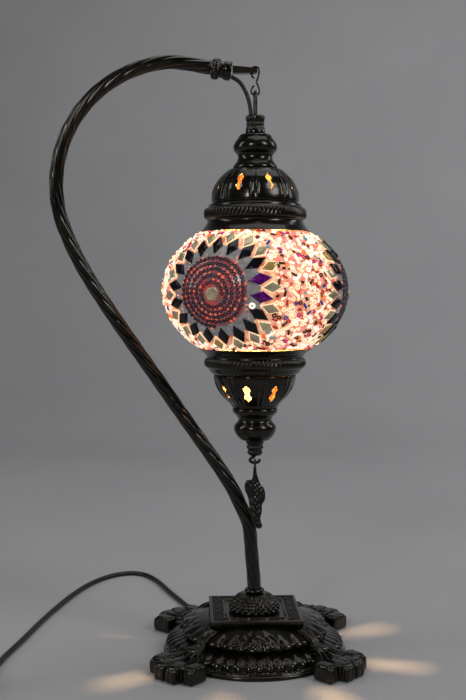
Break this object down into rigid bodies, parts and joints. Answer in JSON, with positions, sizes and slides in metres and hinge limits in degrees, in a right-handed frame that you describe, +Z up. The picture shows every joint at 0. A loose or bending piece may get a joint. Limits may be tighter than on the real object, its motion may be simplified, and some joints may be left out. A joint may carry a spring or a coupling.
{
  "type": "mosaic glass table lamp",
  "caption": "Swan-neck table lamp: cast base on paw feet, twisted neck, hanging globe of mosaic glass between pierced metal caps, leaf pendant and mains lead.",
  "frame": {"origin": "on the table, under the middle of the cast base, at the underside of its felt", "axes": "+Z up; +X away from the side that the neck bows to; -Y towards the front"},
  "size_m": [0.381, 0.4273, 0.4817],
  "materials": {
    "dark_bronze": "oxidised near-black bronze plating, glossy, worn a little lighter on the raised edges",
    "zinc_steel": "zinc plated",
    "glass": "frosted clear glass",
    "mosaic": "seed beads, bugle beads and cut tiles of glass and mirror in grout, lit from inside",
    "bulb": "frosted bulb, lit",
    "black_plastic": "moulded, satin",
    "lead_pvc": "smooth black insulation",
    "felt": "glued felt",
    "pin_brass": "plated, polished"
  },
  "bodies": {
    "stand": {"lower_drum": "dark_bronze", "upper_drum": "dark_bronze", "top_plate": "dark_bronze", "stem_boss": "dark_bronze", "stem_collar": "dark_bronze", "paw_leg_rear_right": "dark_bronze", "paw_leg_rear_left": "dark_bronze", "paw_leg_front_left": "dark_bronze", "paw_leg_front_right": "dark_bronze", "base_washer": "zinc_steel", "base_nut": "zinc_steel", "base_felt": "felt", "base_lead": "lead_pvc", "swan_neck": "dark_bronze", "neck_lead": "lead_pvc", "neck_ferrule": "dark_bronze", "hook_tongue": "dark_bronze", "shade_flex": "lead_pvc", "cord_grommet": "lead_pvc", "mains_cord_run": "lead_pvc", "mains_cord_link": "lead_pvc", "mains_cord_coil": "lead_pvc", "mains_cord_tail": "lead_pvc", "switch_base": "black_plastic", "switch_cover": "black_plastic", "plug_body": "black_plastic", "plug_pin_1": "pin_brass", "plug_pin_2": "pin_brass"},
    "hook": {"s_hook": "dark_bronze"},
    "shade": {"shade_loop": "dark_bronze", "top_spindle": "dark_bronze", "upper_finial": "dark_bronze", "upper_dome": "dark_bronze", "upper_gallery": "dark_bronze", "hanger_tube": "zinc_steel", "upper_bar": "zinc_steel", "tube_nut": "zinc_steel", "lamp_holder": "black_plastic", "bulb_cap": "pin_brass", "bulb_glass": "bulb", "shade_lead": "lead_pvc", "glass_globe": "glass", "mosaic_layer": "mosaic", "lower_gallery": "dark_bronze", "lower_bowl": "dark_bronze", "lower_finial": "dark_bronze", "lower_nozzle": "dark_bronze", "lower_stud": "zinc_steel", "lower_bar": "zinc_steel", "stud_nut": "zinc_steel", "pendant_hook": "dark_bronze"},
    "pendant": {"pendant": "dark_bronze"},
    "rocker": {"switch_rocker": "black_plastic"}
  },
  "joints": [
    {"name": "hook_swing", "type": "hinge", "parent": "stand", "child": "hook", "pos_m": [-0.0004, -0.012, 0.4701], "axis": [0, 1, 0], "range_deg": [-15, 4], "deforming": ["shade_flex"]},
    {"name": "shade_swing", "type": "hinge", "parent": "hook", "child": "shade", "pos_m": [-0.0004, -0.012, 0.4508], "axis": [1, 0, 0], "range_deg": [-20, 0], "deforming": ["shade_flex"]},
    {"name": "pendant_swing", "type": "hinge", "parent": "shade", "child": "pendant", "pos_m": [-0.0004, -0.012, 0.1572], "axis": [1, 0, 0], "range_deg": [-60, 0]},
    {"name": "switch_rock", "type": "hinge", "parent": "stand", "child": "rocker", "pos_m": [-0.221, -0.09, 0.0125], "axis": [0.9511, -0.309, 0], "range_deg": [-14, 0]}
  ]
}
